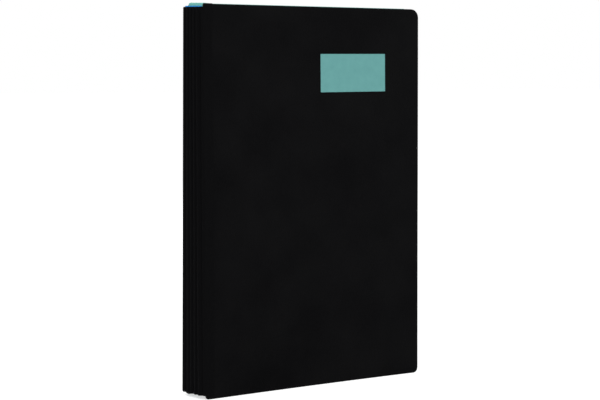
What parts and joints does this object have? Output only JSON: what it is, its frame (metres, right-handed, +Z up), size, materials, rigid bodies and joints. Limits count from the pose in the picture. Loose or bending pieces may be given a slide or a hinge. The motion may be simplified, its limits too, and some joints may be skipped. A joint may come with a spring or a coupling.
{
  "type": "signature book",
  "caption": "Upright signature book with stiff black covers, a pleated expanding spine and divider leaves between them.",
  "frame": {"origin": "middle of the footprint, on the floor that the covers' lower edges stand on", "axes": "+Z up along the spine, +X from the spine to the fore edge, +Y from the front cover to the back cover"},
  "size_m": [0.242, 0.036, 0.3408],
  "materials": {
    "leathercloth": "satin",
    "spine_cloth": "matte",
    "blue_cloth": "matte",
    "blotting_card": "matte",
    "lining_paper": "matte",
    "label_paper": "matte"
  },
  "bodies": {
    "book_block": {"divider_leaves": "blotting_card", "gusset": "blue_cloth", "spine_cloth": "spine_cloth"},
    "front_board": {"front_cover": "leathercloth", "front_lining": "lining_paper", "title_label": "label_paper"},
    "back_board": {"back_cover": "leathercloth", "back_lining": "lining_paper"}
  },
  "joints": [
    {"name": "front_cover_hinge", "type": "hinge", "parent": "book_block", "child": "front_board", "pos_m": [-0.1177, -0.0167, 0.17], "axis": [0, 0, -1], "range_deg": [0, 180]},
    {"name": "back_cover_hinge", "type": "hinge", "parent": "book_block", "child": "back_board", "pos_m": [-0.1177, 0.0137, 0.17], "axis": [0, -0.0176, 0.9998], "range_deg": [0, 180]}
  ]
}
